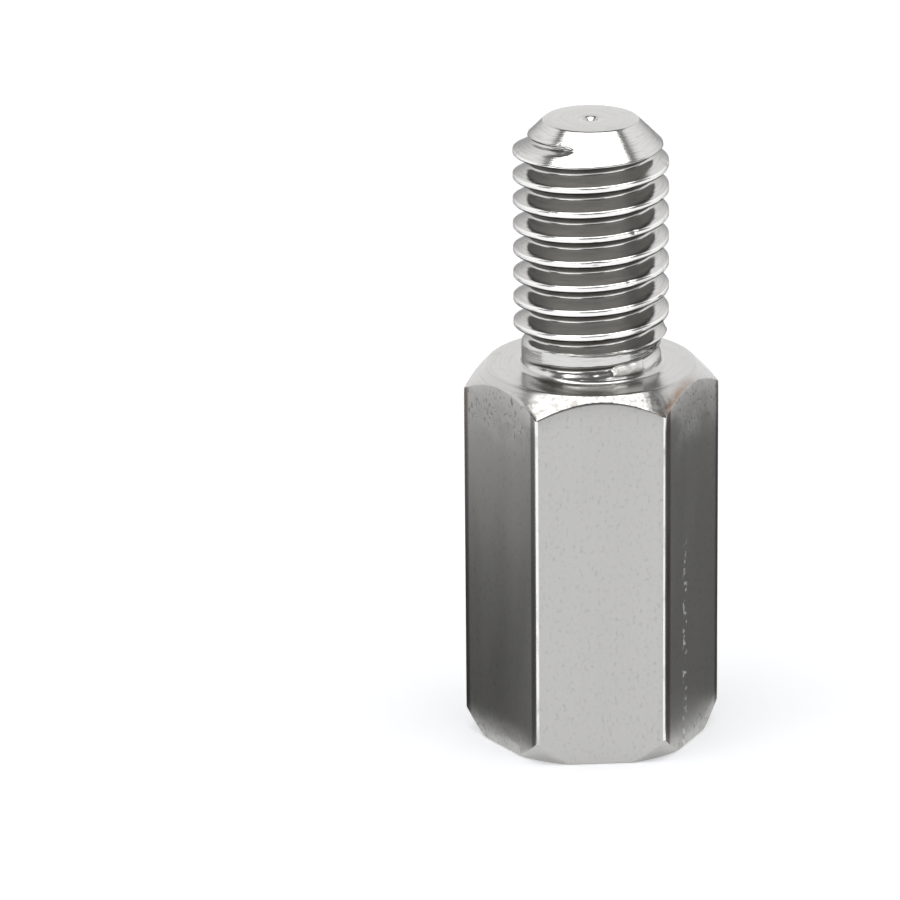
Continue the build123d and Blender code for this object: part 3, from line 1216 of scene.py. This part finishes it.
def softbox(name, place, width, height, level, spin=0.0):
    """A rectangular lamp aimed at the nut, spun in its plane. The metal reflects its level."""
    lamp = bpy.data.lights.new(name, "AREA")
    lamp.shape = "RECTANGLE"
    lamp.size = width * MM
    lamp.size_y = height * MM
    lamp.energy = level * pi * lamp.size * lamp.size_y
    piece = bpy.data.objects.new(name, lamp)
    piece.location = Vector(place) * MM
    aim = Vector((0, 0, AIM_HEIGHT * MM)) - piece.location
    facing = aim.to_track_quat("-Z", "Y").to_matrix() @ Matrix.Rotation(radians(spin), 3, "Z")
    piece.rotation_euler = facing.to_euler()
    bpy.context.scene.collection.objects.link(piece)
    print(f"{name}: {lamp.energy:.2f} W")


softbox("overhead", (-7, -37, 175), width=248, height=90, level=3.0, spin=11)
softbox("front_left", (-130, -130, 50), width=150, height=60, level=2.2)
softbox("front_right", (110, -145, 50), width=120, height=60, level=2.2)


# %% [markdown]
# ## Flags
#
# On white paper alone, every flat would be equally bright. A photographer lays dark cards beside
# the object, so that the side flats darken and the corners stand out. Only reflections see these
# cards. Close to the nut both are dark grey. The left one turns lighter with distance and the
# right one darker, which gives the two side flats their different gradients.

# %% Flags
FLAG_HEIGHT = 0.02
FLAG_BLACK = "000000"
RIGHT_FLAG = [(3.4, -2.6), (38, -20), (44, -8), (45, 9), (38, 24), (2, 34), (5.4, 0.9)]
LEFT_FLAG = [(-2.9, -3.1), (-44, 2), (-38, 40), (-2, 30), (-4.9, 0.4)]


def flag(name, corners, near, far, near_level, far_level):
    """A dark card lying on the paper, seen by the metal alone. Its level changes from near to far,
    both distances from the nut's axis."""
    piece, tree, shader = stage_sheet(name, corners, FLAG_HEIGHT, FLAG_BLACK)
    place = add(tree, "ShaderNodeTexCoord").outputs["Object"]
    reach = add(tree, "ShaderNodeVectorMath", place, operation="LENGTH").outputs["Value"]
    level = add(tree, "ShaderNodeMapRange", reach, near * MM, far * MM, near_level, far_level)
    tree.links.new(level.outputs[0], shader.inputs["Emission Strength"])
    piece.visible_camera = False
    piece.visible_diffuse = False
    piece.visible_shadow = False


flag("right_flag", RIGHT_FLAG, near=24, far=38, near_level=0.145, far_level=0.02)
flag("left_flag", LEFT_FLAG, near=18, far=38, near_level=0.10, far_level=0.46)
print("two flags")


# %% [markdown]
# ## The camera
#
# A long lens, a little above the nut, as in the photograph. The nut's front flat faces slightly
# to one side, so the camera goes round the axis by that turn.

# %% Camera
LENS = 276.29
SENSOR = 36
NEAREST = 1
FARTHEST = 2000
DISTANCE = 218.17
TILT = 0.33771
ROLL = -0.00909
TURN = -0.0624
LOOK_HEIGHT = 10.5
SLIDE = -4.4736
LIFT = -1.0837


def camera():
    """The photograph's view. Angles are in radians, lengths in millimetres."""
    forward = Vector((0, cos(TILT), -sin(TILT)))
    right = Vector((1, 0, 0))
    up = right.cross(forward)
    place = Vector((0, 0, LOOK_HEIGHT)) + right * SLIDE + up * LIFT - forward * DISTANCE
    across = right * cos(ROLL) + up * sin(ROLL)
    upright = up * cos(ROLL) - right * sin(ROLL)
    axes = Matrix((across, upright, -forward)).transposed().to_4x4()
    data = bpy.data.cameras.new("camera")
    data.lens = LENS
    data.sensor_width = SENSOR
    data.clip_start = NEAREST * MM
    data.clip_end = FARTHEST * MM
    piece = bpy.data.objects.new("camera", data)
    piece.matrix_world = Matrix.Rotation(TURN, 4, "Z") @ Matrix.Translation(place * MM) @ axes
    bpy.context.scene.collection.objects.link(piece)
    bpy.context.scene.camera = piece


camera()
bpy.context.scene.view_settings.view_transform = "Standard"
print("lens", LENS, "mm at", DISTANCE, "mm")

# %% [markdown]
#
# The skin has to stay inside the CAD model's box.

bpy.context.view_layer.update()
